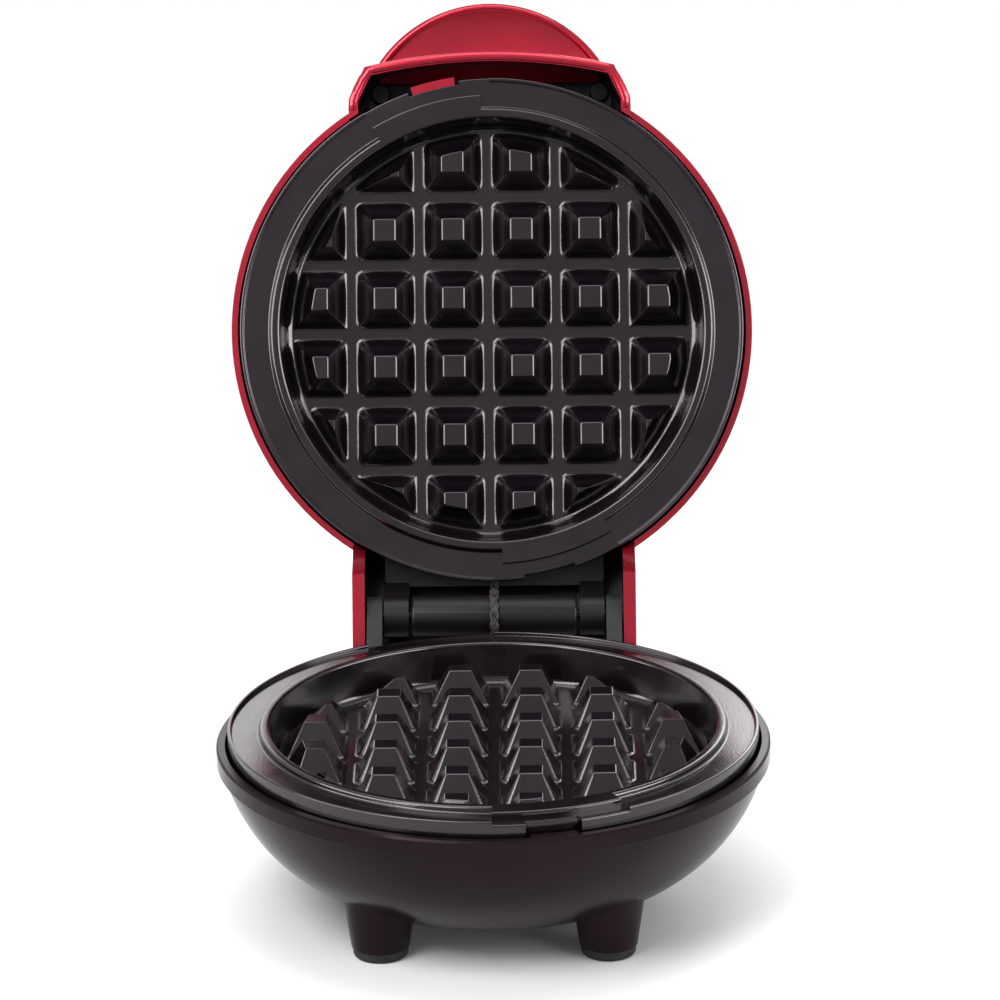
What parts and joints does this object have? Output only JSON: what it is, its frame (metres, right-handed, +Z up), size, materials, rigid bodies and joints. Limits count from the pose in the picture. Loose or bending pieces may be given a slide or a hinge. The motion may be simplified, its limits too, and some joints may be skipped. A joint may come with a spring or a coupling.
{
  "type": "mini waffle maker",
  "caption": "Round mini waffle maker that stands open: domed hinged lid with lifting tab, two studded cooking plates, a deep bowl base on short feet.",
  "frame": {"origin": "on the table, in the middle of the open part's outline", "axes": "+X to the right seen from the front, +Y to the back, +Z up"},
  "size_m": [0.1284, 0.2076, 0.181],
  "materials": {
    "black_shell": "gloss moulded",
    "red_shell": "metallic gloss lacquer",
    "black_plastic": "fine matt",
    "cooking_plate": "cast, dark non-stick coating",
    "element": "drawn tube",
    "shield_steel": "zinc-plated sheet",
    "shield_aluminium": "rolled sheet",
    "switch_metal": "nickel-plated",
    "terminal_ceramic": "unglazed ceramic look",
    "gland_rubber": "satin",
    "foot_rubber": "matt",
    "screw_steel": "zinc-plated",
    "sleeve": "woven glass fibre, stained dark",
    "lens": "clear",
    "lamp": "clear"
  },
  "bodies": {
    "base": {"base_shell": "black_shell", "foot_pad_front_left": "foot_rubber", "foot_pad_front_right": "foot_rubber", "foot_pad_rear_left": "foot_rubber", "foot_pad_rear_right": "foot_rubber", "lower_plate": "cooking_plate", "lower_heating_element": "element", "lower_heat_shield": "shield_steel", "thermostat": "switch_metal", "thermostat_clip": "shield_steel", "thermal_fuse": "switch_metal", "terminal_block": "terminal_ceramic", "cable_gland": "gland_rubber", "cord_clamp": "black_plastic", "clamp_screws": "screw_steel", "base_screws": "screw_steel", "hinge_pin": "screw_steel", "hinge_barrel": "black_shell", "wire_sleeve": "sleeve"},
    "lid": {"lid_shell": "red_shell", "neck_cover": "black_plastic", "upper_plate": "cooking_plate", "upper_heating_element": "element", "upper_heat_shield": "shield_aluminium", "upper_bracket": "shield_steel", "upper_plate_screws": "screw_steel", "lid_screws": "screw_steel", "neck_screws": "screw_steel", "indicator_lens": "lens", "indicator_lamp": "lamp", "lamp_clip": "black_plastic"}
  },
  "joints": [
    {"name": "lid_hinge", "type": "hinge", "parent": "base", "child": "lid", "pos_m": [0, 0.03039, 0.0445], "axis": [1, 0, 0], "range_deg": [0, 110]}
  ]
}
